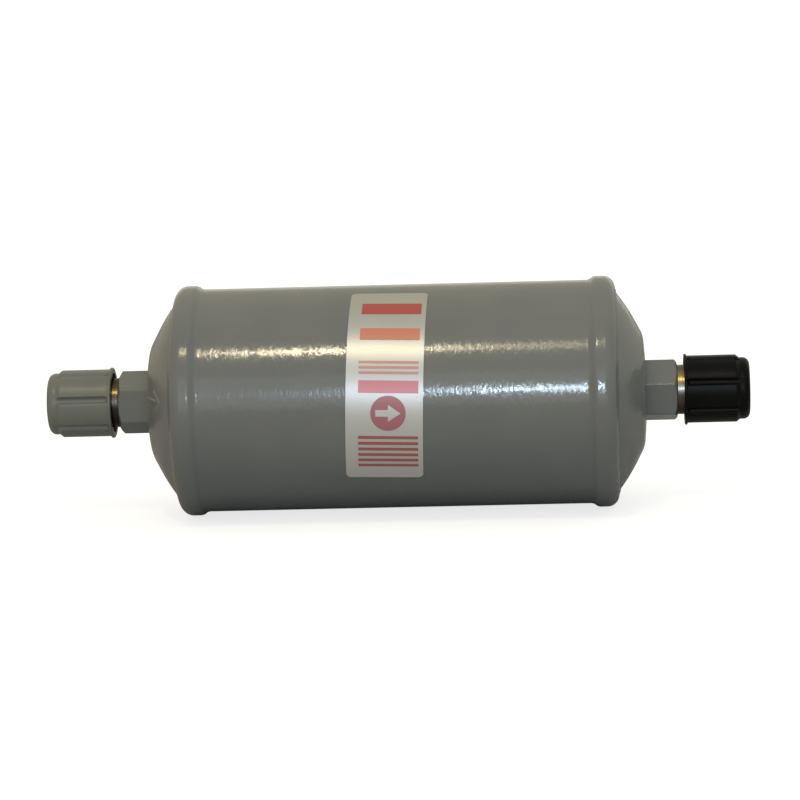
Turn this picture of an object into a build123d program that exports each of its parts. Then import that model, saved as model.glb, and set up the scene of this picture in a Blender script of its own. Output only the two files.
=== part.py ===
from build123d import *
import os
from math import cos, radians, sin, tan

# Filter drier for a refrigeration liquid line, in millimetres and degrees.
# The axis lies along X, the liquid flows towards +X, and the label faces -Y.
# A turn about the axis is counted from -Y towards +Z.

# Shell: a steel tube whose ends are belled into a bead and rolled in over the end caps
shell_diameter = 76.2
shell_wall = 1.6
shell_length = 149.6
bead_height = 1.25
bead_slope_length = 3.4
bead_crest_length = 2.3
rim_radius = 4.0
rim_turn = 78
rim_lip_inset = 3.35

# End caps: pressed steel, conical, with a flat crown that carries the fitting
end_cap_wall = 2.0
end_cap_clearance = 0.05
end_cap_knuckle_radius = 1.0
end_cap_edge_gap = 0.3
flank_inset = 3.9
flank_angle = 54
flank_bend_distance = 7.2
upper_flank_angle = 62
flank_bend_radius = 60
crown_rise = 9.8
crown_fall = 0.6
crown_land = 0.4
crown_corner_radius = 9
crown_edge_radius = 12
weld_leg = 0.8
weld_crown = 0.2
weld_clearance = 0.03

# Flare fittings: spigot through the end cap, hexagon, thread relief, thread and 45 degree nose
spigot_radius = 8.0
spigot_clearance = 0.05
spigot_reach = 3.0
bore_diameter = 9.9
hexagon_across_flats = 19.05
hexagon_length = 10.6
hexagon_chamfer = 30
outlet_hexagon_turn = 20
inlet_hexagon_turn = 31
relief_depth = 1.075
relief_length = 3.0
thread_diameter = 19.05
thread_chamfer = 0.9
fitting_reach = 21.1
nose_step = 1.225
nose_tip_radius = 5.25
braze_leg = 1.6
braze_clearance = 0.03

# Protector caps: moulded, fluted, with a thin flange at the mouth
cap_stand_off = 2.4
cap_wall = 1.825
cap_flange_height = 0.6
cap_flange_width = 0.9
cap_flange_bevel = 0.45
cap_end_inset = 1.0
cap_end_length = 3.4
cap_step_length = 1.2
cap_end_wall = 2.0
cap_corner_radius = 2.2
cap_thread_clearance = 0.15
cap_mouth_wall = 1.3
cap_mouth_depth = 1.0
flute_count = 7
flute_radius = 1.0
flute_depth = 1.25
flute_overrun = 0.9
outlet_flute_turn = 22
inlet_flute_turn = 15
seal_thickness = 1.5
seal_clearance = 0.25

# Label, and its print, whose places are measured up from the label's middle, looked at square on
label_width = 25.8
label_wrap_angle = 110
label_turn = 20
label_lean = 2
label_offset = -2.2
label_thickness = 0.2
label_corner_radius = 1.8
label_clearance = 0.02
print_thickness = 0.1
print_width = 20.0
print_shift = 1.2
title_bar_place = 24.4
heading_bar_place = 15.0
banner_bar_place = -3.3
bar_height = 4.2
upper_rules_place = 3.0
foot_rules_place = -24.3
rule_height = 0.8
rule_pitch = 1.7
upper_rule_count = 3
foot_rule_count = 6
flow_mark_place = -12.2
flow_mark_radius = 5.9
arrow_length = 8.4
arrow_width = 5.6
arrow_shaft_width = 2.2

# Inside: spring, plates, pads and the desiccant core, stacked against the outlet end cap
guide_clearance = 0.2
plate_thickness = 1.5
perforation_radius = 2.2
perforation_pitch = 9.4
perforation_rings = 3
mat_thickness = 5.0
pad_thickness = 2.5
core_length = 105.0
core_gap = 2.5
core_draft = 1.0
core_bore_diameter = 18.0
core_bore_depth = 84.0
core_chamfer = 2.0
plate_rim_height = 6.0
port_radius = 5.0
port_circle_radius = 25.0
port_count = 6
spring_radius = 12.0
spring_wire = 2.6
spring_turns = 4
spring_seat_gap = 0.05

# Places that the pieces share
shell_radius = shell_diameter / 2
shell_bore_radius = shell_radius - shell_wall
flank_radius = shell_radius - flank_inset
rim_lip_radius = shell_radius - rim_lip_inset
crest_radius = shell_radius + bead_height
bell_bore_radius = crest_radius - shell_wall
rim_x = shell_length / 2
crest_end_x = rim_x - rim_radius
crest_start_x = crest_end_x - bead_crest_length
bead_start_x = crest_start_x - bead_slope_length
skirt_radius = bell_bore_radius - end_cap_clearance
skirt_x = crest_start_x + end_cap_edge_gap
crown_x = rim_x + crown_rise
crown_floor_x = crown_x - end_cap_wall
crown_flat_radius = hexagon_across_flats / 2 / cos(radians(30)) + crown_land
hexagon_end_x = crown_x + hexagon_length
relief_end_x = hexagon_end_x + relief_length
nose_x = hexagon_end_x + fitting_reach
thread_radius = thread_diameter / 2
relief_radius = thread_radius - relief_depth
nose_base_radius = thread_radius - nose_step
nose_base_x = nose_x - (nose_base_radius - nose_tip_radius)
cap_mouth_x = hexagon_end_x + cap_stand_off
cap_floor_x = nose_x + seal_thickness
cap_end_x = cap_floor_x + cap_end_wall
cap_step_x = cap_end_x - cap_end_length - cap_step_length
cap_bore_radius = thread_radius + cap_thread_clearance
cap_radius = cap_bore_radius + cap_wall
cap_flange_radius = cap_radius + cap_flange_height
cap_end_radius = cap_radius - cap_end_inset
cap_mouth_radius = cap_radius - cap_mouth_wall
flute_floor_radius = cap_radius - flute_depth

# The end cap's flank is a line through (rim_x, flank_radius) that leans in towards the crown
down_flank = Vector(cos(radians(flank_angle)), -sin(radians(flank_angle)))
off_flank = Vector(sin(radians(flank_angle)), cos(radians(flank_angle)))
flank_start = Vector(rim_x, flank_radius)
knee_x = rim_x - (skirt_radius - flank_radius) / tan(radians(flank_angle))
flank_bend = flank_start + down_flank * flank_bend_distance
crown_corner_x = crown_x - crown_fall
crown_corner_radius_at = flank_bend.Y - (crown_corner_x - flank_bend.X) * tan(radians(upper_flank_angle))

# The shell's rolled rim ends in a lip that stands on the flank
rim_arc_end = Vector(
    crest_end_x + rim_radius * sin(radians(rim_turn)),
    crest_radius - rim_radius * (1 - cos(radians(rim_turn))),
)
lip = Vector(rim_arc_end.X + (rim_arc_end.Y - rim_lip_radius) / tan(radians(rim_turn)), rim_lip_radius)
lip_height = (lip - flank_start).dot(off_flank)
lip_along = (lip - flank_start).dot(down_flank)


def on_flank(along, height):
    """A point of the section, measured down the flank and square off it."""
    return flank_start + down_flank * along + off_flank * height


bell_knee_along = (bell_bore_radius - on_flank(0, end_cap_clearance).Y) / sin(radians(flank_angle))

# Shell: half of its section, mirrored and turned about the axis
with BuildPart() as shell:
    with BuildSketch(Plane.XY):
        with BuildLine():
            Line((0, shell_radius), (bead_start_x, shell_radius))
            slope_middle = (bead_start_x + bead_slope_length / 2, shell_radius + bead_height / 2)
            rise = TangentArc((bead_start_x, shell_radius), slope_middle, tangent=(1, 0))
            TangentArc(slope_middle, (crest_start_x, crest_radius), tangent=rise % 1)
            Line((crest_start_x, crest_radius), (crest_end_x, crest_radius))
            JernArc((crest_end_x, crest_radius), tangent=(1, 0), radius=rim_radius, arc_size=-rim_turn)
            Line(rim_arc_end, lip)
            Line(lip, on_flank(lip_along, end_cap_clearance))
            FilletPolyline(
                on_flank(lip_along, end_cap_clearance),
                on_flank(-bell_knee_along, end_cap_clearance),
                (crest_start_x, bell_bore_radius),
                radius=end_cap_knuckle_radius + end_cap_wall + end_cap_clearance,
            )
            inner_middle = (slope_middle[0], slope_middle[1] - shell_wall)
            fall = TangentArc((crest_start_x, bell_bore_radius), inner_middle, tangent=(-1, 0))
            TangentArc(inner_middle, (bead_start_x, shell_bore_radius), tangent=fall % 1)
            Line((bead_start_x, shell_bore_radius), (0, shell_bore_radius))
            Line((0, shell_bore_radius), (0, shell_radius))
        make_face()
        mirror(about=Plane.YZ)
    revolve(axis=Axis.X)
shell.part.label = "shell"

# End caps: an outline offset by the wall and turned about the axis
with BuildPart() as outlet_end_cap:
    with BuildSketch(Plane.XY):
        with BuildLine():
            outline = FilletPolyline(
                (skirt_x, skirt_radius),
                (knee_x, skirt_radius),
                flank_bend,
                (crown_corner_x, crown_corner_radius_at),
                (crown_x, crown_flat_radius),
                (crown_x, spigot_radius + spigot_clearance),
                radius=(
                    end_cap_knuckle_radius + end_cap_wall,
                    flank_bend_radius,
                    crown_corner_radius,
                    crown_edge_radius,
                ),
            )
            offset(outline, amount=end_cap_wall, side=Side.RIGHT)
        make_face()
    revolve(axis=Axis.X)
outlet_end_cap.part.label = "outlet_end_cap"

with BuildPart() as inlet_end_cap:
    mirror(outlet_end_cap.part, about=Plane.YZ)
inlet_end_cap.part.label = "inlet_end_cap"

# Seam welds: a convex bead in the corner between the lip and the flank
with BuildPart() as outlet_end_weld:
    with BuildSketch(Plane.XY):
        with BuildLine():
            corner = on_flank(lip_along + weld_clearance, weld_clearance)
            top = on_flank(lip_along + weld_clearance, lip_height)
            toe = on_flank(lip_along + weld_clearance + weld_leg, weld_clearance)
            Line(corner, top)
            SagittaArc(top, toe, weld_crown)
            Line(toe, corner)
        make_face()
    revolve(axis=Axis.X)
outlet_end_weld.part.label = "outlet_end_weld"

with BuildPart() as inlet_end_weld:
    mirror(outlet_end_weld.part, about=Plane.YZ)
inlet_end_weld.part.label = "inlet_end_weld"


def flare_fitting(hexagon_turn):
    """A fitting on the outlet side, its hexagon turned so that one corner is hexagon_turn above -Y."""
    with BuildPart() as fitting:
        with BuildSketch(Plane.YZ.offset(crown_x)):
            RegularPolygon(hexagon_across_flats / 2, 6, major_radius=False, rotation=180 - hexagon_turn)
        extrude(amount=hexagon_length)
        with BuildSketch(Plane.XY):
            bevel_start = hexagon_across_flats / 2
            bevel_length = hexagon_length / tan(radians(hexagon_chamfer))
            Polygon(
                (crown_x, 0),
                (crown_x, bevel_start + bevel_length),
                (hexagon_end_x, bevel_start),
                (hexagon_end_x, 0),
                align=None,
            )
        revolve(axis=Axis.X, mode=Mode.INTERSECT)
        with BuildSketch(Plane.XY):
            Polygon(
                (crown_floor_x - spigot_reach, 0),
                (crown_floor_x - spigot_reach, spigot_radius),
                (crown_x, spigot_radius),
                (hexagon_end_x, relief_radius),
                (relief_end_x, relief_radius),
                (relief_end_x + thread_chamfer, thread_radius),
                (nose_base_x - thread_chamfer, thread_radius),
                (nose_base_x, nose_base_radius),
                (nose_x, nose_tip_radius),
                (nose_x, 0),
                align=None,
            )
        revolve(axis=Axis.X)
        with BuildSketch(Plane.YZ.offset(crown_floor_x - spigot_reach)):
            Circle(bore_diameter / 2)
        extrude(until=Until.LAST, mode=Mode.SUBTRACT)
    return fitting


outlet_fitting = flare_fitting(outlet_hexagon_turn)
outlet_fitting.part.label = "outlet_fitting"

with BuildPart() as inlet_fitting:
    mirror(flare_fitting(inlet_hexagon_turn).part, about=Plane.YZ)
inlet_fitting.part.label = "inlet_fitting"

# Braze rings: in the corner between each spigot and the floor of its end cap
with BuildPart() as outlet_braze:
    with BuildSketch(Plane.XY):
        with Locations((crown_floor_x - braze_clearance, spigot_radius + braze_clearance)):
            Polygon((0, 0), (-braze_leg, 0), (0, braze_leg), align=None)
    revolve(axis=Axis.X)
outlet_braze.part.label = "outlet_braze"

with BuildPart() as inlet_braze:
    mirror(outlet_braze.part, about=Plane.YZ)
inlet_braze.part.label = "inlet_braze"

# Protector caps: a turned shell with round-ended flutes cut along it
flute_x = (cap_mouth_x + cap_flange_width, cap_step_x + cap_step_length + flute_overrun)
with BuildPart() as flute:
    with Locations(Location(((flute_x[0] + flute_x[1]) / 2, 0, 0), (0, 90, 0))):
        Cylinder(flute_radius, flute_x[1] - flute_x[0] - 2 * flute_radius)
    with Locations((flute_x[0] + flute_radius, 0, 0), (flute_x[1] - flute_radius, 0, 0)):
        Sphere(flute_radius)


def protector_cap(flute_turn):
    """A cap on the outlet side, with one flute at flute_turn above -Y."""
    with BuildPart() as cap:
        with BuildSketch(Plane.XY):
            with BuildLine():
                FilletPolyline(
                    (cap_step_x + cap_step_length, cap_end_radius),
                    (cap_end_x, cap_end_radius),
                    (cap_end_x, 0),
                    radius=cap_corner_radius,
                )
                Polyline(
                    (cap_end_x, 0),
                    (cap_floor_x, 0),
                    (cap_floor_x, cap_bore_radius),
                    (cap_mouth_x + cap_mouth_depth, cap_bore_radius),
                    (cap_mouth_x + cap_mouth_depth, cap_mouth_radius),
                    (cap_mouth_x, cap_mouth_radius),
                    (cap_mouth_x, cap_flange_radius - cap_flange_bevel),
                    (cap_mouth_x + cap_flange_bevel, cap_flange_radius),
                    (cap_mouth_x + cap_flange_width, cap_flange_radius),
                    (cap_mouth_x + cap_flange_width, cap_radius),
                    (cap_step_x, cap_radius),
                    (cap_step_x + cap_step_length, cap_end_radius),
                )
            make_face()
        revolve(axis=Axis.X)
        for number in range(flute_count):
            turn = flute_turn + number * 360 / flute_count
            side = Rotation(-turn, 0, 0) * Pos(0, -(flute_floor_radius + flute_radius), 0)
            add(side * flute.part, mode=Mode.SUBTRACT)
    return cap


outlet_cap = protector_cap(outlet_flute_turn)
outlet_cap.part.label = "outlet_cap"

with BuildPart() as inlet_cap:
    mirror(protector_cap(inlet_flute_turn).part, about=Plane.YZ)
inlet_cap.part.label = "inlet_cap"

# Cap seals: a disc between each nose and the floor of its cap
with BuildPart() as outlet_cap_seal:
    with BuildSketch(Plane.YZ.offset(nose_x)):
        Circle(cap_bore_radius - seal_clearance)
    extrude(amount=seal_thickness)
outlet_cap_seal.part.label = "outlet_cap_seal"

with BuildPart() as inlet_cap_seal:
    mirror(outlet_cap_seal.part, about=Plane.YZ)
inlet_cap_seal.part.label = "inlet_cap_seal"

# Label: a sheet wrapped on the shell, cut square on with rounded corners, and stuck on with a slight lean
label_radius = shell_radius + label_clearance
print_radius = label_radius + label_thickness
label_height = 2 * print_radius * sin(radians(label_wrap_angle / 2))
label_face = Plane(
    origin=(label_offset, 0, 0),
    x_dir=(1, 0, 0),
    z_dir=(0, -cos(radians(label_turn)), sin(radians(label_turn))),
).rotated((0, 0, -label_lean))


def sleeve(radius, thickness):
    """A thin sleeve round the shell at the label's place, from which the label and its print are cut."""
    with BuildPart() as ring:
        with BuildSketch(Plane.YZ.offset(label_offset)):
            Circle(radius + thickness)
            Circle(radius, mode=Mode.SUBTRACT)
        extrude(amount=label_width, both=True)
    return ring.part


with BuildPart() as label:
    with BuildSketch(label_face):
        RectangleRounded(label_width, label_height, label_corner_radius)
    extrude(amount=shell_diameter)
    add(sleeve(label_radius, label_thickness), mode=Mode.INTERSECT)
label.part.label = "label"

# Print: fields of colour in a thin layer over the label
with BuildPart() as label_print:
    with BuildSketch(label_face * Pos(print_shift, 0, 0)):
        with Locations((0, title_bar_place), (0, heading_bar_place), (0, banner_bar_place)):
            Rectangle(print_width, bar_height)
        with Locations((0, upper_rules_place)):
            with GridLocations(0, rule_pitch, 1, upper_rule_count):
                Rectangle(print_width, rule_height)
        with Locations((0, foot_rules_place)):
            with GridLocations(0, rule_pitch, 1, foot_rule_count):
                Rectangle(print_width, rule_height)
        with Locations((0, flow_mark_place)):
            Circle(flow_mark_radius)
            Polygon(
                (-arrow_length / 2, -arrow_shaft_width / 2),
                (0, -arrow_shaft_width / 2),
                (0, -arrow_width / 2),
                (arrow_length / 2, 0),
                (0, arrow_width / 2),
                (0, arrow_shaft_width / 2),
                (-arrow_length / 2, arrow_shaft_width / 2),
                align=None,
                mode=Mode.SUBTRACT,
            )
    extrude(amount=shell_diameter)
    add(sleeve(print_radius, print_thickness), mode=Mode.INTERSECT)
label_print.part.label = "label_print"

# Inside stack, from the outlet end cap's edge towards the inlet
plate_x = skirt_x
mat_x = plate_x - plate_thickness
core_end_x = mat_x - mat_thickness
core_start_x = core_end_x - core_length
pad_start_x = core_start_x - pad_thickness
pressure_plate_x = pad_start_x - plate_thickness
plate_radius = shell_bore_radius - guide_clearance
cup_radius = plate_radius - plate_thickness
core_radius = shell_bore_radius - core_gap
pad_radius = cup_radius - guide_clearance


def cup_section(back_x, towards):
    """Half the section of a plate whose rim is turned up, its back at back_x and its rim reaching towards +X or -X."""
    face_x = back_x + towards * plate_thickness
    rim_end_x = face_x + towards * plate_rim_height
    Polygon(
        (back_x, 0),
        (back_x, plate_radius),
        (rim_end_x, plate_radius),
        (rim_end_x, cup_radius),
        (face_x, cup_radius),
        (face_x, 0),
        align=None,
    )


with BuildPart() as perforated_plate:
    with BuildSketch(Plane.XY):
        cup_section(plate_x, -1)
    revolve(axis=Axis.X)
    with BuildSketch(Plane.YZ.offset(plate_x)):
        Circle(perforation_radius)
        for ring in range(1, perforation_rings + 1):
            with PolarLocations(ring * perforation_pitch, 6 * ring):
                Circle(perforation_radius)
    extrude(amount=-plate_thickness, mode=Mode.SUBTRACT)
perforated_plate.part.label = "perforated_plate"

with BuildPart() as filter_mat:
    with BuildSketch(Plane.YZ.offset(core_end_x)):
        Circle(pad_radius)
    extrude(amount=mat_thickness)
filter_mat.part.label = "filter_mat"

with BuildPart() as desiccant_core:
    with BuildSketch(Plane.XY):
        Polygon(
            (core_start_x, 0),
            (core_start_x, core_radius - core_draft - core_chamfer),
            (core_start_x + core_chamfer, core_radius - core_draft),
            (core_end_x - core_chamfer, core_radius),
            (core_end_x, core_radius - core_chamfer),
            (core_end_x, core_bore_diameter / 2),
            (core_end_x - core_bore_depth, core_bore_diameter / 2 - core_draft),
            (core_end_x - core_bore_depth, 0),
            align=None,
        )
    revolve(axis=Axis.X)
desiccant_core.part.label = "desiccant_core"

with BuildPart() as inlet_pad:
    with BuildSketch(Plane.YZ.offset(pad_start_x)):
        Circle(pad_radius)
        with PolarLocations(port_circle_radius, port_count):
            Circle(port_radius, mode=Mode.SUBTRACT)
    extrude(amount=pad_thickness)
inlet_pad.part.label = "inlet_pad"

with BuildPart() as pressure_plate:
    with BuildSketch(Plane.XY):
        cup_section(pressure_plate_x, 1)
    revolve(axis=Axis.X)
    with BuildSketch(Plane.YZ.offset(pressure_plate_x)):
        with PolarLocations(port_circle_radius, port_count):
            Circle(port_radius)
    extrude(amount=plate_thickness, mode=Mode.SUBTRACT)
pressure_plate.part.label = "pressure_plate"

spring_start_x = -crown_floor_x + spring_wire / 2 + spring_seat_gap
spring_end_x = pressure_plate_x - spring_wire / 2 - spring_seat_gap
spring_height = spring_end_x - spring_start_x
with BuildPart() as core_spring:
    with BuildLine():
        coil = Helix(
            spring_height / spring_turns,
            spring_height,
            spring_radius,
            center=(spring_start_x, 0, 0),
            direction=(1, 0, 0),
        )
    with BuildSketch(Plane(origin=coil @ 0, z_dir=coil % 0)):
        Circle(spring_wire / 2)
    sweep(path=coil, is_frenet=True)
core_spring.part.label = "core_spring"

os.makedirs("parts", exist_ok=True)
for piece in (
    shell,
    inlet_end_cap,
    outlet_end_cap,
    inlet_end_weld,
    outlet_end_weld,
    inlet_fitting,
    outlet_fitting,
    inlet_braze,
    outlet_braze,
    inlet_cap,
    outlet_cap,
    inlet_cap_seal,
    outlet_cap_seal,
    label,
    label_print,
    core_spring,
    pressure_plate,
    inlet_pad,
    desiccant_core,
    filter_mat,
    perforated_plate,
):
    export_step(piece.part, f"parts/{piece.part.label}.step")
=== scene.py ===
from math import cos, hypot, pi, radians, sin, tan

import bmesh
import bpy
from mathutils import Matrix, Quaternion, Vector


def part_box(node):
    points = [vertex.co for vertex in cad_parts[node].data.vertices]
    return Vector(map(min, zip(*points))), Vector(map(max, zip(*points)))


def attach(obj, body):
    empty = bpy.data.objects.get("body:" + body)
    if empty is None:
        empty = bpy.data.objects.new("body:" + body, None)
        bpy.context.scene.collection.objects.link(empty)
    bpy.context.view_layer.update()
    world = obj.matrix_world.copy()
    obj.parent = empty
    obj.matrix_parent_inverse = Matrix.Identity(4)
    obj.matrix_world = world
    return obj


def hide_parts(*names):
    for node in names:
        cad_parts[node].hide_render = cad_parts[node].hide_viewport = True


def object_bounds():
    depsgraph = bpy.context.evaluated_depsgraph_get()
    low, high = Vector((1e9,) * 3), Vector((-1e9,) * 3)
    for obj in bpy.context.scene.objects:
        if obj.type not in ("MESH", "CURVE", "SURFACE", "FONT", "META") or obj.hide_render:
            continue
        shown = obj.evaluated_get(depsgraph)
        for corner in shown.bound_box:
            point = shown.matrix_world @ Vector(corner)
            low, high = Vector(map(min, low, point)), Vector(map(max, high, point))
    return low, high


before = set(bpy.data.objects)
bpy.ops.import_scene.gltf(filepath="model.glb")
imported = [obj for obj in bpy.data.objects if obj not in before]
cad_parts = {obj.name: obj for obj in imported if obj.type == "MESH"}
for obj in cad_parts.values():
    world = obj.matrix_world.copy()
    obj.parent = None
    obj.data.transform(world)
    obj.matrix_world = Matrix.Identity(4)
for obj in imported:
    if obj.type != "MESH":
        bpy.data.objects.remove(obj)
cad_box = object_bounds()
mm = 0.001

# ---------------------------------------------------------------------------------------------------
# Shell: the steel tube that holds everything, its ends belled into a bead and rolled over the end caps.
# It is spray painted in grey gloss enamel after welding, which leaves the fine ripple called orange peel.

paint_light = (0.164, 0.169, 0.157, 1)
paint_shade = (0.150, 0.156, 0.148, 1)
paint_cloud_size = 34 * mm
orange_peel_size = 1.0 * mm
orange_peel_height = 0.10 * mm
peel_scale_round_shell = 0.36
coarse_peel_size = 3.1 * orange_peel_size
coarse_peel_share = 0.15
lean_along_shell = 0.3


class Wire:
    """A socket of a node tree. Arithmetic on it adds Math nodes, and add() adds any other node."""

    def __init__(self, tree, socket=None):
        self.tree = tree
        self.socket = socket

    def add(self, kind, settings=None, sockets=None, out=None):
        node = self.tree.nodes.new(kind)
        for name, value in (settings or {}).items():
            setattr(node, name, value)
        for name, value in (sockets or {}).items():
            live = [socket for socket in node.inputs if socket.enabled]
            socket = live[name] if isinstance(name, int) else next(s for s in live if s.name == name)
            if isinstance(value, Wire):
                self.tree.links.new(value.socket, socket)
            else:
                socket.default_value = value
        return Wire(self.tree, next(s for s in node.outputs if s.enabled and out in (None, s.name)))

    def out(self, name):
        return Wire(self.tree, self.socket.node.outputs[name])

    def between(self, operation, *values):
        return self.add("ShaderNodeMath", {"operation": operation}, dict(enumerate(values)))

    def maths(self, operation, *others):
        return self.between(operation, self, *others)

    def __add__(self, other):
        return self.between("ADD", self, other)

    def __radd__(self, other):
        return self.between("ADD", other, self)

    def __sub__(self, other):
        return self.between("SUBTRACT", self, other)

    def __rsub__(self, other):
        return self.between("SUBTRACT", other, self)

    def __mul__(self, other):
        return self.between("MULTIPLY", self, other)

    def __rmul__(self, other):
        return self.between("MULTIPLY", other, self)

    def __truediv__(self, other):
        return self.between("DIVIDE", self, other)

    def __rtruediv__(self, other):
        return self.between("DIVIDE", other, self)

    def step(self, low, high, start=0.0, end=1.0):
        """Goes smoothly from start to end while this value goes from low to high."""
        sockets = {"Value": self, "From Min": low, "From Max": high, "To Min": start, "To Max": end}
        return self.add("ShaderNodeMapRange", {"interpolation_type": "SMOOTHSTEP"}, sockets)

    def mix(self, low, high):
        """One colour where this value is 0 and another where it is 1."""
        settings = {"data_type": "RGBA", "clamp_factor": True}
        return self.add("ShaderNodeMix", settings, {"Factor": self, "A": low, "B": high})

    def noise(self, size, detail=2.0, roughness=0.5):
        """An even noise around 0.5, whose lumps are about this size."""
        sockets = {"Vector": self, "Scale": 1 / size, "Detail": detail, "Roughness": roughness}
        return self.add("ShaderNodeTexNoise", {"noise_dimensions": "3D"}, sockets)

    def parts(self):
        split = self.add("ShaderNodeSeparateXYZ", {}, {0: self})
        return split, split.out("Y"), split.out("Z")


def new_material(name, **constants):
    """A Principled material, with its place on the object as a Wire, and a way to plug its sockets."""
    material = bpy.data.materials.new(name)
    material.use_nodes = True
    tree = material.node_tree
    shader = tree.nodes["Principled BSDF"]
    for socket, value in constants.items():
        shader.inputs[socket.replace("_", " ")].default_value = value
    place = Wire(tree).add("ShaderNodeTexCoord", out="Object")
    return material, shader, place


def plug(shader, **sockets):
    for name, wire in sockets.items():
        wire.tree.links.new(wire.socket, shader.inputs[name.replace("_", " ")])


def bumped(height, distance):
    """The normal that a height gives, where a height of 1 stands distance proud."""
    sockets = {"Strength": 1.0, "Distance": distance, "Height": height}
    return height.add("ShaderNodeBump", {}, sockets)


def orange_peel(place):
    """The height of the paint's ripple, drawn out round the shell, which turns while it is sprayed."""
    scale = (1, peel_scale_round_shell, peel_scale_round_shell)
    drawn = place.add("ShaderNodeMapping", {}, {"Vector": place, "Scale": scale})
    return drawn.noise(orange_peel_size, 2, 0.45) + coarse_peel_share * place.noise(coarse_peel_size, 1, 0.5)


def combed(normal):
    """Holds back a normal's lean along the shell, which the paint levels out as the shell turns."""
    bare = normal.add("ShaderNodeNewGeometry", out="Normal")
    lean = normal.add("ShaderNodeVectorMath", {"operation": "SUBTRACT"}, {0: normal, 1: bare})
    sockets = {0: lean, 1: (lean_along_shell, 1, 1), 2: bare}
    lean = normal.add("ShaderNodeVectorMath", {"operation": "MULTIPLY_ADD"}, sockets)
    return normal.add("ShaderNodeVectorMath", {"operation": "NORMALIZE"}, {0: lean})


def grey_enamel():
    material, shader, place = new_material("grey_enamel")
    cloud = place.noise(paint_cloud_size, 2).step(0.35, 0.65)
    plug(
        shader,
        Base_Color=cloud.mix(paint_shade, paint_light),
        Roughness=0.13 + 0.05 * place.noise(4 * mm, 2),
        Normal=combed(bumped(orange_peel(place), orange_peel_height)),
    )
    return material


enamel = grey_enamel()


def finish_node(name, material):
    """Gives a CAD node its finish."""
    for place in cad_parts[name].material_slots:
        place.material = material


finish_node("shell", enamel)

# ---------------------------------------------------------------------------------------------------
# End caps: pressed from 2 mm steel, pushed into the belled ends of the shell and painted with it.
# They are conical, with a nearly flat crown. A plain arrow pressed in the inlet cap shows the way in. Its
# places are (distance from the axis, height).

arrow_tip = (28.6 * mm, 4.4 * mm)
arrow_tail = (19.5 * mm, 4.4 * mm)
arrow_barbs = [(24.8 * mm, 7.4 * mm), (24.8 * mm, 1.4 * mm)]
arrow_corner = (18 * mm, 0)
arrow_cell = 0.15 * mm
arrow_cells = (76, 59)
stroke_width = 1.5 * mm
stroke_height = 0.27 * mm
stroke_reach = 0.62 * stroke_width
stroke_root = 0.2 * mm
numbering_direction = (1, 30, 900)


def stroke_distance(spot, start, end):
    """How far a spot is from a straight stroke."""
    run = Vector(end) - Vector(start)
    share = max(0, min(1, (spot - Vector(start)).dot(run) / run.length_squared))
    return (spot - Vector(start) - share * run).length


def pressed_arrow():
    """Round-topped strokes on the front of the inlet cap, where the stamp pushed them out. The edges and the
    root of a stroke lie under the cap's surface. The faces are numbered along one direction, because solidify
    leaves those of the rim in no set order."""
    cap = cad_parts["inlet_end_cap"]
    shape = bmesh.new()
    grid = {}
    for i in range(arrow_cells[0] + 1):
        for k in range(arrow_cells[1] + 1):
            spot = Vector(arrow_corner) + Vector((i, k)) * arrow_cell
            away = stroke_distance(spot, arrow_tail, arrow_tip)
            away = min([away] + [stroke_distance(spot, arrow_tip, barb) for barb in arrow_barbs])
            if away < stroke_reach:
                aim = Vector((cad_box[0].x - 10 * mm, -(spot.x**2 - spot.y**2) ** 0.5, spot.y))
                _, place, outward, _ = cap.ray_cast(aim, Vector((1, 0, 0)))
                rise = stroke_height * (1 - (2 * away / stroke_width) ** 2)
                grid[i, k] = shape.verts.new(place + rise * outward)
    for i, k in list(grid):
        ring = [grid.get(key) for key in ((i, k), (i + 1, k), (i + 1, k + 1), (i, k + 1))]
        if all(ring):
            shape.faces.new(ring)
    stray = [point for point in shape.verts if not point.link_faces]
    bmesh.ops.delete(shape, geom=stray, context="VERTS")
    shape.normal_update()
    bmesh.ops.solidify(shape, geom=shape.faces[:], thickness=stroke_root)
    bmesh.ops.recalc_face_normals(shape, faces=shape.faces)
    shape.faces.sort(key=lambda face: face.calc_center_median().dot(numbering_direction))
    mesh = bpy.data.meshes.new("pressed_arrow")
    shape.to_mesh(mesh)
    shape.free()
    mesh.materials.append(enamel)
    mesh.shade_smooth()
    mesh.set_sharp_from_angle(angle=radians(60))
    piece = bpy.data.objects.new("pressed_arrow", mesh)
    bpy.context.collection.objects.link(piece)
    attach(piece, "housing")


finish_node("inlet_end_cap", enamel)
pressed_arrow()
finish_node("outlet_end_cap", enamel)

# ---------------------------------------------------------------------------------------------------
# Seam welds: a bead run round each end in the corner between the rolled rim and the end cap.
# It is laid by an automatic torch, so its ripples are small and even, and it is painted over.

weld_ripple_pitch = 1.1 * mm
weld_ripple_height = 0.05 * mm


def painted_weld():
    """The enamel over the crescents that the torch left as it went round."""
    material, shader, place = new_material("painted_weld")
    _, y, z = place.parts()
    turn = z.maths("ARCTAN2", y)
    radius = (y * y + z * z).maths("SQRT")
    crescent = (turn * radius / weld_ripple_pitch + place.noise(2 * mm)).maths("FRACT")
    plug(
        shader,
        Base_Color=place.noise(8 * mm).step(0.35, 0.65).mix(paint_shade, paint_light),
        Roughness=0.14 + 0.06 * place.noise(4 * mm, 2),
        Normal=bumped(crescent.maths("PINGPONG", 0.5), weld_ripple_height),
    )
    return material


weld_paint = painted_weld()
finish_node("inlet_end_weld", weld_paint)
finish_node("outlet_end_weld", weld_paint)

# ---------------------------------------------------------------------------------------------------
# Flare fittings: turned and milled from hexagon steel bar, brazed into the end caps through a spigot.
# The hexagon is painted with the shell. The relief, the thread and the 45 degree nose are masked and stay
# plated.

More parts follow.
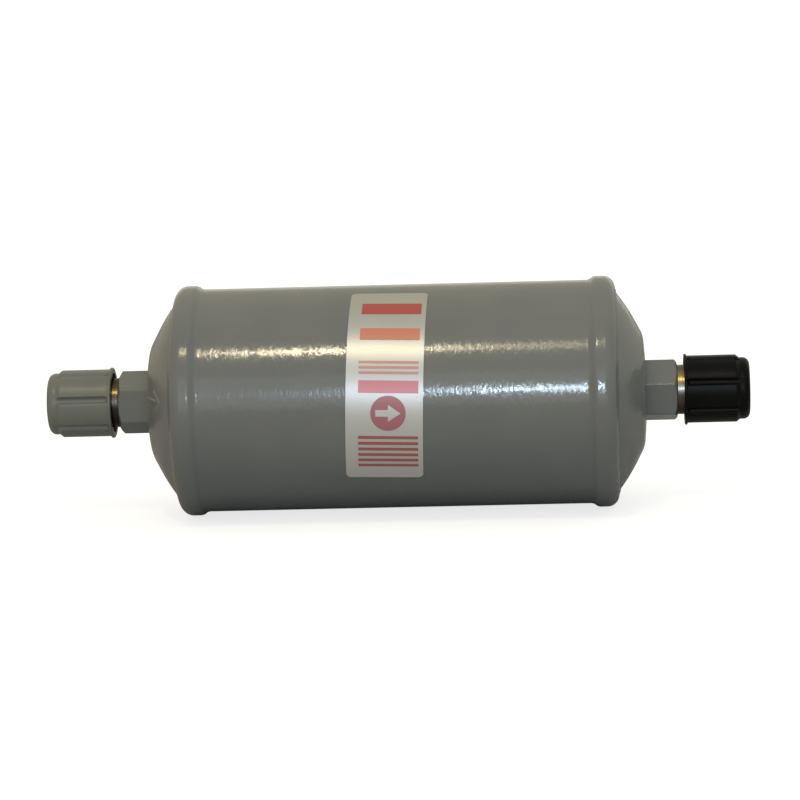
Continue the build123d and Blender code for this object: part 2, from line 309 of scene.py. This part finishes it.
thread_pitch = 25.4 / 16 * mm
thread_depth = 0.92 * mm
thread_radius = 9.52 * mm
thread_chamfer = 0.9 * mm
hexagon_size = 19.05 * mm
hexagon_length = 10.6 * mm
hexagon_turns = {"inlet": 31, "outlet": 20}
hexagon_edge_round = 0.22 * mm
hexagon_blank_radius = 12.2 * mm
spigot_radius = 8.0 * mm
relief_radius = 8.45 * mm
relief_length = 3.0 * mm
fitting_reach = 21.1 * mm
nose_length = 3.05 * mm
nose_base_radius = 8.3 * mm
nose_tip_radius = 5.25 * mm
bore_radius = 4.95 * mm
fitting_spacing = 0.2 * mm
fitting_segments = 132


def rounded_outline(corners, spacing):
    """Points along an outline of (place, radius, fillet) corners, with arcs at its fillets."""
    points = []
    for i, (x, y, fillet) in enumerate(corners):
        here = Vector((x, y))
        if fillet == 0 or i in (0, len(corners) - 1):
            points.append(here)
            continue
        back = (Vector(corners[i - 1][:2]) - here).normalized()
        on = (Vector(corners[i + 1][:2]) - here).normalized()
        opening = back.angle(on)
        start = here + back * fillet / tan(opening / 2)
        end = here + on * fillet / tan(opening / 2)
        centre = here + (back + on).normalized() * fillet / sin(opening / 2)
        turn = (start - centre).angle_signed(end - centre)
        steps = max(3, round(abs(turn) / radians(15)))
        for k in range(steps + 1):
            arm = start - centre
            a = -turn * k / steps
            points.append(centre + Vector((arm.x * cos(a) - arm.y * sin(a), arm.x * sin(a) + arm.y * cos(a))))
    runs = [points[0]]
    for a, b in zip(points, points[1:]):
        count = max(1, round((b - a).length / spacing))
        runs += [a.lerp(b, k / count) for k in range(1, count + 1)]
    return runs


def turning_tree(name):
    """A node tree that turns an outline about the X axis. It returns the tree, its inputs, a sheet with a
    point for each place and turn, the place along the axis, the radius, and the turn from -Y to +Z."""
    tree = bpy.data.node_groups.new(name, "GeometryNodeTree")
    face = tree.interface
    face.new_socket("Geometry", in_out="OUTPUT", socket_type="NodeSocketGeometry")
    face.new_socket("Outline", in_out="INPUT", socket_type="NodeSocketGeometry")
    face.new_socket("Points", in_out="INPUT", socket_type="NodeSocketInt")
    face.new_socket("Segments", in_out="INPUT", socket_type="NodeSocketInt")
    given = Wire(tree).add("NodeGroupInput")
    points = given.out("Points")
    sheet = given.add(
        "GeometryNodeMeshGrid",
        {},
        {
            "Size X": 1.0,
            "Size Y": 1.0,
            "Vertices X": given.out("Segments") + 1,
            "Vertices Y": points,
        },
    )
    across, along, _ = given.add("GeometryNodeInputPosition").parts()
    number = ((along + 0.5) * (points - 1)).maths("ROUND")
    read = given.add(
        "GeometryNodeSampleIndex",
        {"data_type": "FLOAT_VECTOR", "domain": "POINT"},
        {"Geometry": given.out("Outline"), "Value": given.add("GeometryNodeInputPosition"), "Index": number},
    )
    place, radius, _ = read.parts()
    return tree, given, sheet, place, radius, (across + 0.5) * (2 * pi)


def turned_piece(name, tree_parts, outline, segments, material, shape_radius, **sizes):
    """Runs a turning tree on an outline, with the radius that shape_radius gives, and keeps the mesh."""
    tree, given, sheet, place, radius, turn = tree_parts
    inputs = {}
    for label in sizes:
        tree.interface.new_socket(label, in_out="INPUT", socket_type="NodeSocketFloat")
        inputs[label] = given.out(label)
    final = shape_radius(place, radius, turn, **inputs)
    spot = place.add(
        "ShaderNodeCombineXYZ",
        {},
        {0: place, 1: 0 - final * turn.maths("COSINE"), 2: final * turn.maths("SINE")},
    )
    body = sheet.add("GeometryNodeSetPosition", {}, {"Geometry": sheet, "Position": spot})
    body = body.add("GeometryNodeMergeByDistance", {}, {"Geometry": body, "Distance": 0.002 * mm})
    angle = body.add("GeometryNodeInputMeshEdgeAngle", out="Unsigned Angle")
    crease = angle.maths("GREATER_THAN", radians(32))
    body = body.add(
        "GeometryNodeSetShadeSmooth",
        {"domain": "FACE"},
        {"Geometry": body, "Shade Smooth": True},
    )
    body = body.add(
        "GeometryNodeSetShadeSmooth",
        {"domain": "EDGE"},
        {"Geometry": body, "Selection": crease, "Shade Smooth": False},
    )
    tree.links.new(body.socket, tree.nodes.new("NodeGroupOutput").inputs["Geometry"])
    mesh = bpy.data.meshes.new(name)
    mesh.from_pydata([(p.x, p.y, 0) for p in outline], [], [])
    piece = bpy.data.objects.new(name, mesh)
    bpy.context.collection.objects.link(piece)
    maker = piece.modifiers.new("turning", "NODES")
    maker.node_group = tree
    values = {"Points": len(outline), "Segments": segments, **sizes}
    for item in tree.interface.items_tree:
        if item.in_out == "INPUT" and item.name in values:
            maker[item.identifier] = values[item.name]
    turned = piece.evaluated_get(bpy.context.evaluated_depsgraph_get())
    done = bpy.data.meshes.new_from_object(turned)
    piece.modifiers.remove(maker)
    done.materials.clear()
    done.materials.append(material)
    piece.data = done
    return piece


def inside_out(side, corners):
    """The outline of a piece at the inlet (side -1) or the outlet (side 1), ordered to face outwards."""
    ordered = corners if side < 0 else list(reversed(corners))
    return [(side * x, y, fillet) for x, y, fillet in ordered]


def plated_steel():
    """Zinc plate, passivated yellow, with light painted into its colour by height: a gold band is a painted
    reflection of the warm lamp, and it goes dark brown downwards as painted shade. The inlet's plating is
    darker still, as painted shade from its cap and hexagon.
    """
    material, shader, place = new_material("yellow_plated_steel", Metallic=1.0)
    x, _, z = place.parts()
    cloud = place.noise(3.5 * mm, 3)
    height = z + 2 * mm * (cloud - 0.5)
    # Painted light by height: dark brown at the bottom as painted shade, grey in the middle, a gold band
    # above as the painted reflection of the warm lamp, and duller again at the top.
    tint = height.step(-6 * mm, -2 * mm).mix((0.07, 0.055, 0.04, 1), (0.15, 0.125, 0.11, 1))
    tint = height.step(-1.2 * mm, 1 * mm).mix(tint, (0.27, 0.25, 0.225, 1))
    tint = height.step(2 * mm, 4 * mm).mix(tint, (0.46, 0.35, 0.15, 1))
    tint = height.step(5.5 * mm, 8 * mm).mix(tint, (0.17, 0.14, 0.10, 1))
    # The inlet's plating is darkened to 0.45 as painted shade, where its cap's mouth and the hexagon shade
    # the neck.
    painted_shade_by_side = x.step(-1 * mm, 1 * mm, 0.45, 1)
    tint = (1 - painted_shade_by_side).mix(tint, (0, 0, 0, 1))
    rings = x.maths("MULTIPLY", 1 / (0.16 * mm)).maths("SINE")
    plug(
        shader,
        Base_Color=tint,
        Roughness=0.20 + 0.14 * cloud,
        Normal=bumped(rings + place.noise(0.3 * mm, 2), 0.004 * mm),
    )
    return material


plating = plated_steel()


def fitting_radius(
    place, radius, turn, Hexagon_Start, Hexagon_End, Hexagon_Turn, Thread_Start, Thread_End, Hand
):
    """Cuts the hexagon's flats and the helix of the thread into a turned outline."""
    sixth = ((turn - Hexagon_Turn) / (pi / 3)).maths("FRACT")
    sixth = (sixth + 1).maths("FRACT")
    flat = (hexagon_size / 2) / ((sixth - 0.5) * (pi / 3)).maths("COSINE")
    along = place.maths("ABSOLUTE")
    on_hexagon = along.maths("GREATER_THAN", Hexagon_Start) * along.maths("LESS_THAN", Hexagon_End)
    outside = radius.maths("GREATER_THAN", relief_radius + 0.15 * mm)
    flatted = radius.maths("SMOOTH_MIN", flat, hexagon_edge_round)
    hexed = on_hexagon * outside
    after_hexagon = radius * (1 - hexed) + flatted * hexed
    helix = ((along * Hand) / thread_pitch + turn / (2 * pi)).maths("FRACT")
    helix = (helix + 1).maths("FRACT")
    ridge = (helix - 0.5).maths("ABSOLUTE") * 2
    groove = ridge.step(0.18, 0.92) * thread_depth
    runs_in = along.step(Thread_Start - 0.2 * mm, Thread_Start + thread_chamfer)
    runs_out = along.step(Thread_End - thread_chamfer, Thread_End + 0.2 * mm)
    window = runs_in * (1 - runs_out) * outside
    return after_hexagon - groove * window


for side, end in ((-1, "inlet"), (1, "outlet")):
    low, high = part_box(f"{end}_fitting")
    back, nose = min(abs(low.x), abs(high.x)), max(abs(low.x), abs(high.x))
    hexagon_end = nose - fitting_reach
    hexagon_start = hexagon_end - hexagon_length
    relief_end = hexagon_end + relief_length
    nose_base = nose - nose_length
    outline = rounded_outline(
        inside_out(
            side,
            [
                (back, bore_radius, 0),
                (back, spigot_radius, 0.3 * mm),
                (hexagon_start, spigot_radius, 0),
                (hexagon_start, hexagon_blank_radius, 0),
                (hexagon_end - 1.7 * mm, hexagon_blank_radius, 0),
                (hexagon_end - 0.55 * mm, 10.2 * mm, 0.4 * mm),
                (hexagon_end, 9.3 * mm, 0.15 * mm),
                (hexagon_end, relief_radius, 0.25 * mm),
                (relief_end, relief_radius, 0.3 * mm),
                (relief_end + thread_chamfer, thread_radius, 0.2 * mm),
                (nose_base - thread_chamfer, thread_radius, 0.2 * mm),
                (nose_base, nose_base_radius, 0.2 * mm),
                (nose, nose_tip_radius, 0.15 * mm),
                (nose, bore_radius, 0),
                (back, bore_radius, 0),
            ],
        ),
        fitting_spacing,
    )
    piece = turned_piece(
        f"{end}_flare_fitting",
        turning_tree(f"{end} flare fitting"),
        outline,
        fitting_segments,
        plating,
        fitting_radius,
        Hexagon_Start=hexagon_start - 0.01 * mm,
        Hexagon_End=hexagon_end + 0.01 * mm,
        Hexagon_Turn=radians(hexagon_turns[end]),
        Thread_Start=relief_end,
        Thread_End=nose_base,
        Hand=side,
    )
    piece.data.materials.append(enamel)
    for face in piece.data.polygons:
        along = abs(face.center.x)
        radius = hypot(face.center.y, face.center.z)
        if hexagon_start - 0.1 * mm < along < hexagon_end - 0.02 * mm and radius > 8.1 * mm:
            face.material_index = 1
    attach(piece, "housing")
    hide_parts(f"{end}_fitting")

# ---------------------------------------------------------------------------------------------------
# Braze rings: silver-brown filler that ran into the corner between each spigot and the end cap's floor.
# They are inside the shell and keep the colour that the torch left.


def braze_filler():
    material, shader, place = new_material("braze_filler", Metallic=1.0)
    heat = place.noise(4 * mm, 3).step(0.3, 0.7)
    plug(
        shader,
        Base_Color=heat.mix((0.62, 0.42, 0.20, 1), (0.36, 0.20, 0.10, 1)),
        Roughness=0.3 + 0.3 * heat,
        Normal=bumped(place.noise(0.8 * mm, 2), 0.06 * mm),
    )
    return material


filler = braze_filler()
finish_node("inlet_braze", filler)
finish_node("outlet_braze", filler)

# ---------------------------------------------------------------------------------------------------
# Protector caps: moulded in soft plastic, screwed on the flare threads until the line is fitted.
# Seven round-ended flutes give a grip, and a thin flange closes round the mouth. One cap is grey, one black.

flute_count = 7
flute_radius = 1.2 * mm
flute_edge_round = 0.4 * mm
flute_overrun = 0.9 * mm
flute_turns = {"inlet": 15, "outlet": 22}
cap_radius = 11.5 * mm
cap_bore_radius = 9.675 * mm
cap_mouth_radius = 10.2 * mm
cap_mouth_depth = 1.0 * mm
cap_flange_width = 0.9 * mm
cap_end_radius = cap_radius - 1.0 * mm
cap_end_length = 3.4 * mm
cap_end_wall = 2.0 * mm
cap_step_length = 1.2 * mm
cap_corner_radius = 2.2 * mm
cap_spacing = 0.25 * mm
hollow_spacing = 0.5 * mm
cap_segments = 280


def moulded_plastic(name, colour, worn, shine, roughness, grain_size, grain_height):
    material, shader, place = new_material(name, Specular_IOR_Level=shine)
    cloud = place.noise(9 * mm, 2).step(0.3, 0.7)
    grain = place.noise(grain_size, 2, 0.6)
    plug(
        shader,
        Base_Color=cloud.mix(colour, worn),
        Roughness=roughness + 0.16 * grain,
        Normal=bumped(grain, grain_height),
    )
    return material


cap_plastics = {
    "inlet": moulded_plastic(
        "grey_cap_plastic",
        colour=(0.160, 0.162, 0.136, 1),
        worn=(0.150, 0.152, 0.130, 1),
        shine=0.4,
        roughness=0.24,
        grain_size=0.5 * mm,
        grain_height=0.02 * mm,
    ),
    "outlet": moulded_plastic(
        "black_cap_plastic",
        colour=(0.003, 0.003, 0.0028, 1),
        worn=(0.0045, 0.0045, 0.004, 1),
        shine=0.1,
        roughness=0.24,
        grain_size=0.35 * mm,
        grain_height=0.04 * mm,
    ),
}


def cap_shape(place, radius, turn, Flute_Start, Flute_End, Flute_Turn):
    """Presses the flutes into a turned cap."""
    along = place.maths("ABSOLUTE")
    share = ((turn - Flute_Turn) / (2 * pi / flute_count) + 0.5).maths("FRACT")
    share = (share + 1).maths("FRACT") - 0.5
    across = share * (2 * pi / flute_count * cap_radius)
    before = (Flute_Start + flute_radius - along).maths("MAXIMUM", 0)
    after = (along - Flute_End + flute_radius).maths("MAXIMUM", 0)
    beyond = before + after
    reach = (across * across + beyond * beyond).maths("SQRT")
    dip = (flute_radius * flute_radius - reach * reach).maths("MAXIMUM", 0).maths("SQRT")
    rise = (reach - flute_radius).maths("MAXIMUM", 0) * 2
    floor_radius = cap_radius - dip + rise
    outside = radius.maths("GREATER_THAN", cap_mouth_radius + 0.02 * mm)
    outside = outside * along.maths("GREATER_THAN", Flute_Start)
    pressed = radius.maths("SMOOTH_MIN", floor_radius, flute_edge_round)
    return radius * (1 - outside) + pressed * outside


for side, end in ((-1, "inlet"), (1, "outlet")):
    low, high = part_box(f"{end}_cap")
    mouth, tip, flange = min(abs(low.x), abs(high.x)), max(abs(low.x), abs(high.x)), high.z
    body_start = mouth + cap_flange_width
    step_end = tip - cap_end_length
    step_start = step_end - cap_step_length
    outline = rounded_outline(
        inside_out(
            side,
            [
                (mouth, cap_mouth_radius, 0),
                (mouth, flange, 0.42 * mm),
                (body_start, flange, 0.2 * mm),
                (body_start, cap_radius, 0.15 * mm),
                (step_start, cap_radius, 0.5 * mm),
                (step_end, cap_end_radius, 0.5 * mm),
                (tip, cap_end_radius, cap_corner_radius),
                (tip, 0, 0),
            ],
        ),
        cap_spacing,
    )
    hollow = rounded_outline(
        inside_out(
            side,
            [
                (tip - cap_end_wall, 0, 0),
                (tip - cap_end_wall, cap_bore_radius, 0.3 * mm),
                (mouth + cap_mouth_depth, cap_bore_radius, 0.15 * mm),
                (mouth + cap_mouth_depth, cap_mouth_radius, 0),
                (mouth, cap_mouth_radius, 0),
            ],
        ),
        hollow_spacing,
    )
    whole = outline + hollow[1:] if side < 0 else hollow + outline[1:]
    piece = turned_piece(
        f"{end}_protector_cap",
        turning_tree(f"{end} protector cap"),
        whole,
        cap_segments,
        cap_plastics[end],
        cap_shape,
        Flute_Start=body_start,
        Flute_End=step_end + flute_overrun,
        Flute_Turn=radians(flute_turns[end]),
    )
    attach(piece, f"{end}_cap")
    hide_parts(f"{end}_cap")

# ---------------------------------------------------------------------------------------------------
# Cap seals: discs of synthetic rubber that lie in the floor of each cap and close the nose.
# They are stamped from sheet, so they are plain and dull.


def sheet_rubber():
    material, shader, place = new_material("sheet_rubber", Specular_IOR_Level=0.35)
    bloom = place.noise(5 * mm, 3).step(0.35, 0.7)
    plug(
        shader,
        Base_Color=bloom.mix((0.018, 0.018, 0.018, 1), (0.035, 0.034, 0.033, 1)),
        Roughness=0.62 + 0.2 * bloom,
        Normal=bumped(place.noise(0.25 * mm, 2), 0.015 * mm),
    )
    return material


rubber = sheet_rubber()
finish_node("inlet_cap_seal", rubber)
finish_node("outlet_cap_seal", rubber)

# ---------------------------------------------------------------------------------------------------
# Label: satin film with rounded corners, stuck round the front of the shell with a slight lean. Its print is
# plain fields of ink: a title bar, a heading bar, rules, a banner, a disc with a flow arrow, and foot rules.

shell_radius = 38.12 * mm
label_width = 25.8 * mm
label_length = radians(110) * shell_radius
label_turn = radians(20)
label_lean = radians(2)
label_place = -2.23 * mm
label_corner = 1.8 * mm
film_thickness = 0.18 * mm
ink_thickness = 0.1 * mm
print_shift = 1.3 * mm
print_width = 20 * mm
row_pitch = 0.9 * mm
disc_place = -12.3 * mm
disc_radius = 5.9 * mm
arrow_reach = 4.2 * mm
arrow_half_width = 2.8 * mm
arrow_point_reach = 0.98 * arrow_half_width
arrow_thickness = ink_thickness + 0.02 * mm
shaft_half_width = 1.1 * mm
round_end_steps = 8


def label_film():
    material, shader, place = new_material("label_film", Specular_IOR_Level=1.0, IOR=2.15)
    _, _, z = place.parts()
    fibre = place.noise(0.5 * mm, 2)
    cloud = place.noise(20 * mm, 2).step(0.3, 0.7, -1.5 * mm, 1.5 * mm)
    aged = (z + cloud).step(20 * mm, 36 * mm).mix((0.46, 0.455, 0.425, 1), (0.30, 0.295, 0.24, 1))
    fresh = (z + cloud).step(-20 * mm, 4 * mm).mix((0.47, 0.445, 0.41, 1), aged)
    plug(
        shader,
        Base_Color=fresh,
        Roughness=0.32 + 0.08 * fibre,
        Normal=bumped(fibre + place.noise(3 * mm, 1), 0.004 * mm),
    )
    return material


def printing_ink(name, colour):
    """One ink, which lies a little thicker in some places than in others."""
    material, shader, place = new_material(name, Specular_IOR_Level=0.8)
    thin = tuple(0.92 * part for part in colour) + (1,)
    plug(
        shader,
        Base_Color=place.noise(0.7 * mm, 2).mix(thin, (*colour, 1)),
        Roughness=0.3 + 0.08 * place.noise(0.4 * mm, 2),
    )
    return material


def rows_between(low, high, edges):
    """Rows of a sheet from one height to another, where edges gives the left and right edge at a height."""
    count = max(2, round((high - low) / row_pitch))
    heights = [low + (high - low) * k / count for k in range(count + 1)]
    return [(height, *edges(height)) for height in heights]


def bar(middle, height, width=print_width):
    return rows_between(middle - height / 2, middle + height / 2, lambda _: (-width / 2, width / 2))


def round_ended(radius, straight, half_width, middle):
    """Rows of a sheet whose two ends are rounded with this radius, set by angle along the round parts."""
    rows = []
    for k in range(-round_end_steps, round_end_steps + 1):
        lean = radians(min(86, 90 * abs(k) / round_end_steps))
        side = 1 if k > 0 else -1 if k < 0 else 0
        height = side * (straight + radius * sin(lean))
        reach = half_width - radius + radius * cos(lean)
        rows.append((middle + height, -reach, reach))
    return rows


def wrapped_sheets(name, sheets):
    """Thin sheets on the shell as one mesh. A sheet is its material, lift, thickness, shift and rows."""
    points, faces, finishes, materials = [], [], [], []
    for material, lift, thickness, shift, rows in sheets:
        if material not in materials:
            materials.append(material)
        first = len(points)
        for height, left, right in rows:
            for across, above in ((left, 0), (right, 0), (right, thickness), (left, thickness)):
                along = (across + shift) * cos(label_lean) + height * sin(label_lean)
                up = height * cos(label_lean) - (across + shift) * sin(label_lean)
                turn = label_turn + up / shell_radius
                radius = shell_radius + lift + above
                points.append((label_place + along, -radius * cos(turn), radius * sin(turn)))
        last = len(points) - 4
        faces += [(first, first + 1, first + 2, first + 3), (last + 3, last + 2, last + 1, last)]
        for corner in range(first, last, 4):
            for i in range(4):
                j = (i + 1) % 4
                faces.append((corner + i, corner + j, corner + 4 + j, corner + 4 + i))
        finishes += [materials.index(material)] * (len(faces) - len(finishes))
    mesh = bpy.data.meshes.new(name)
    mesh.from_pydata(points, [], faces)
    for material in materials:
        mesh.materials.append(material)
    mesh.polygons.foreach_set("material_index", finishes)
    solid = bmesh.new()
    solid.from_mesh(mesh)
    bmesh.ops.recalc_face_normals(solid, faces=solid.faces)
    solid.to_mesh(mesh)
    solid.free()
    mesh.shade_smooth()
    mesh.set_sharp_from_angle(angle=radians(30))
    piece = bpy.data.objects.new(name, mesh)
    bpy.context.collection.objects.link(piece)
    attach(piece, "housing")
    return piece


film = label_film()
ends = round_ended(label_corner, label_length / 2 - label_corner, label_width / 2, 0)
last, first = round_end_steps - 1, round_end_steps + 1
middle_rows = rows_between(ends[last][0], ends[first][0], lambda _: (-label_width / 2, label_width / 2))
film_rows = ends[:last] + middle_rows + ends[first + 1 :]
label = wrapped_sheets("label_film", [(film, 0, film_thickness, 0, film_rows)])
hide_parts("label")

title_ink = printing_ink("title_ink", (0.42, 0.060, 0.042))
heading_ink = printing_ink("heading_ink", (0.60, 0.20, 0.11))
rule_ink = printing_ink("rule_ink", (0.60, 0.29, 0.25))
banner_ink = printing_ink("banner_ink", (0.66, 0.19, 0.235))
disc_ink = printing_ink("disc_ink", (0.40, 0.13, 0.155))
foot_ink = printing_ink("foot_ink", (0.36, 0.105, 0.085))
fields = [
    (title_ink, bar(26.6 * mm, 5.4 * mm)),
    (heading_ink, bar(15.2 * mm, 4.6 * mm)),
    (banner_ink, bar(-3.5 * mm, 4.2 * mm)),
    (disc_ink, round_ended(disc_radius, 0, disc_radius, disc_place)),
]
fields += [(rule_ink, bar(3.0 * mm + 1.8 * mm * k, 0.85 * mm)) for k in (-1, 0, 1)]
fields += [(foot_ink, bar(-20.6 * mm - 2.1 * mm * k, 1.05 * mm)) for k in range(6)]
sheets = [(ink, film_thickness, ink_thickness, print_shift, rows) for ink, rows in fields]


def arrow_point(height):
    return 0, arrow_reach * (1 - abs(height - disc_place) / arrow_half_width)


def arrow_shaft(_):
    return -arrow_reach, 0


for half_width, edges in ((arrow_point_reach, arrow_point), (shaft_half_width, arrow_shaft)):
    rows = rows_between(disc_place - half_width, disc_place + half_width, edges)
    sheets.append((film, film_thickness, arrow_thickness, print_shift, rows))
printed = wrapped_sheets("label_print", sheets)
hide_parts("label_print")

# ---------------------------------------------------------------------------------------------------
# Inside: a spring behind a pressure plate holds the moulded desiccant core against a felt mat and a
# perforated plate. All of it is out of sight, and it is finished as the real pieces are.


def bright_steel():
    material, shader, place = new_material("bright_steel", Metallic=1.0)
    streaks = place.add("ShaderNodeMapping", {}, {"Vector": place, "Scale": (1, 1, 9)}).noise(1.2 * mm, 3)
    plug(
        shader,
        Base_Color=streaks.mix((0.50, 0.50, 0.49, 1), (0.62, 0.62, 0.61, 1)),
        Roughness=0.26 + 0.2 * streaks,
        Normal=bumped(streaks, 0.006 * mm),
    )
    return material


def felt():
    material, shader, place = new_material("felt")
    fibre = place.noise(0.6 * mm, 5, 0.7)
    plug(
        shader,
        Base_Color=fibre.step(0.35, 0.65).mix((0.60, 0.58, 0.52, 1), (0.78, 0.77, 0.72, 1)),
        Roughness=0.85 + 0.1 * fibre,
        Normal=bumped(fibre, 0.25 * mm),
    )
    return material


def moulded_desiccant():
    material, shader, place = new_material("moulded_desiccant", Specular_IOR_Level=0.2)
    beads = place.add("ShaderNodeTexVoronoi", {}, {"Vector": place, "Scale": 1 / (1.6 * mm)})
    pores = beads.step(0.1, 0.6)
    plug(
        shader,
        Base_Color=pores.mix((0.66, 0.56, 0.42, 1), (0.40, 0.31, 0.21, 1)),
        Roughness=0.8 + 0.15 * pores,
        Normal=bumped(1 - pores, 0.3 * mm),
    )
    return material


steel = bright_steel()
wool = felt()
finish_node("core_spring", steel)
finish_node("pressure_plate", steel)
finish_node("perforated_plate", steel)
finish_node("inlet_pad", wool)
finish_node("filter_mat", wool)
finish_node("desiccant_core", moulded_desiccant())

# ---------------------------------------------------------------------------------------------------
# Studio: the drier lies on a pale sweep. A warm lamp with a long shade hangs over the front, and a cool
# window stands behind the camera. Two soft lamps and the light of the room fill the rest.

sweep_size = 12
sweep_gap = 0.05 * mm

bpy.ops.mesh.primitive_plane_add(size=sweep_size, location=(0, 0, cad_box[0].z - sweep_gap))
sweep = bpy.context.object
sweep.name = "sweep"


def seen_colours(tree, lighting, mirrored, direct):
    """A colour that differs for the light it gives, for what gloss shows of it, and for the camera."""
    ray = Wire(tree).add("ShaderNodeLightPath", out="Is Camera Ray")
    in_gloss = ray.out("Is Glossy Ray").maths("MAXIMUM", ray.out("Is Transmission Ray"))
    return ray.mix(in_gloss.mix(lighting, mirrored), direct)


def pale_sweep():
    material = bpy.data.materials.new("pale_sweep")
    material.use_nodes = True
    tree = material.node_tree
    shader = tree.nodes["Principled BSDF"]
    shader.inputs["Roughness"].default_value = 0.9
    shader.inputs["Specular IOR Level"].default_value = 0.0
    shader.inputs["Emission Strength"].default_value = 0.75
    colour = seen_colours(tree, (0.40, 0.43, 0.48, 1), (0.38, 0.38, 0.38, 1), (0.42, 0.42, 0.42, 1))
    glow = seen_colours(tree, (0, 0, 0, 1), (0, 0, 0, 1), (1, 1, 1, 1))
    plug(shader, Base_Color=colour, Emission_Color=glow)
    return material


sweep.data.materials.append(pale_sweep())


def from_object(turn, rise, distance):
    """A place seen from the object at this turn to the right of the front, this rise and this distance."""
    a, e = radians(turn), radians(rise)
    return Vector((distance * sin(a) * cos(e), -distance * cos(a) * cos(e), distance * sin(e)))


def hang_lamp(name, turn, rise, distance, size, brightness, colour):
    """A flat lamp that faces the object. Its brightness is for each square metre of it."""
    lamp = bpy.data.lights.new(name, "AREA")
    lamp.shape = "RECTANGLE"
    lamp.size, lamp.size_y = size
    lamp.energy = brightness * pi * size[0] * size[1]
    lamp.color = colour
    holder = bpy.data.objects.new(name, lamp)
    bpy.context.collection.objects.link(holder)
    place = from_object(turn, rise, distance)
    holder.location = place
    holder.rotation_euler = (-place).to_track_quat("-Z", "Y").to_euler()


warm = (1.0, 0.87, 0.56)
cool = (0.70, 0.86, 1.0)
sky = (0.50, 0.78, 1.0)
lamps = (
    # name, turn, rise, distance, size, brightness, colour
    ("warm_lamp", -9.3, 57.6, 1.6, (0.13, 0.08), 78, warm),
    ("warm_strip", -2, 59.1, 1.7, (0.9, 0.08), 8.5, warm),
    ("window", 0.8, 14.2, 2.2, (0.13, 0.11), 84, cool),
    ("window_glow", 1.0, 14.0, 2.6, (0.36, 0.20), 8, sky),
    ("front_fill", 0, 16, 2.8, (2.2, 1.6), 0.7, (0.92, 0.96, 1.0)),
    ("back_fill", 180, 3, 2.8, (2.2, 1.2), 0.3, (1.0, 0.97, 0.92)),
)
for lamp in lamps:
    hang_lamp(*lamp)

world = bpy.data.worlds.new("room")
bpy.context.scene.world = world
world.use_nodes = True
direction = Wire(world.node_tree).add("ShaderNodeTexCoord", out="Generated")
right, far_side, up = direction.parts()
behind = (far_side - 0.1 * up).step(-0.03, 0.05)
overhead = up.step(-0.05, 0.9)
front_light = overhead.mix((0.45, 0.48, 0.50, 1), (0.82, 0.82, 0.78, 1))
back_light = overhead.mix((0.56, 0.54, 0.47, 1), (0.88, 0.84, 0.72, 1))
warm_side = right.step(-0.9, -0.3, 1, 0)
lighting = warm_side.mix(behind.mix(front_light, back_light), (0.76, 0.54, 0.29, 1))
mirrored = behind.mix((0.42, 0.43, 0.45, 1), (0.52, 0.50, 0.41, 1))
room = world.node_tree.nodes["Background"]
colour = seen_colours(world.node_tree, lighting, mirrored, (1, 1, 1, 1))
world.node_tree.links.new(colour.socket, room.inputs["Color"])

# ---------------------------------------------------------------------------------------------------
# Camera: a long lens, a little above the drier and nearer to its outlet end.

camera_distance = 1.231
camera_turn = 3.24
camera_rise = 10
camera_roll = -1.91
frame_pixels = 800
focal_pixels = 3598
shift_pixels = (2.02, -4.03)

lens = bpy.data.cameras.new("camera")
camera = bpy.data.objects.new("camera", lens)
bpy.context.collection.objects.link(camera)
camera.location = from_object(camera_turn, camera_rise, camera_distance)
look = (-from_object(camera_turn, camera_rise, 1)).to_track_quat("-Z", "Y")
roll = Quaternion((0, 0, 1), radians(camera_roll))
camera.rotation_euler = (look @ roll).to_euler()
lens.sensor_width = 36
lens.lens = lens.sensor_width * focal_pixels / frame_pixels
lens.shift_x = shift_pixels[0] / frame_pixels
lens.shift_y = shift_pixels[1] / frame_pixels
lens.clip_start = 0.01
bpy.context.scene.camera = camera

bpy.context.scene.view_settings.view_transform = "Standard"
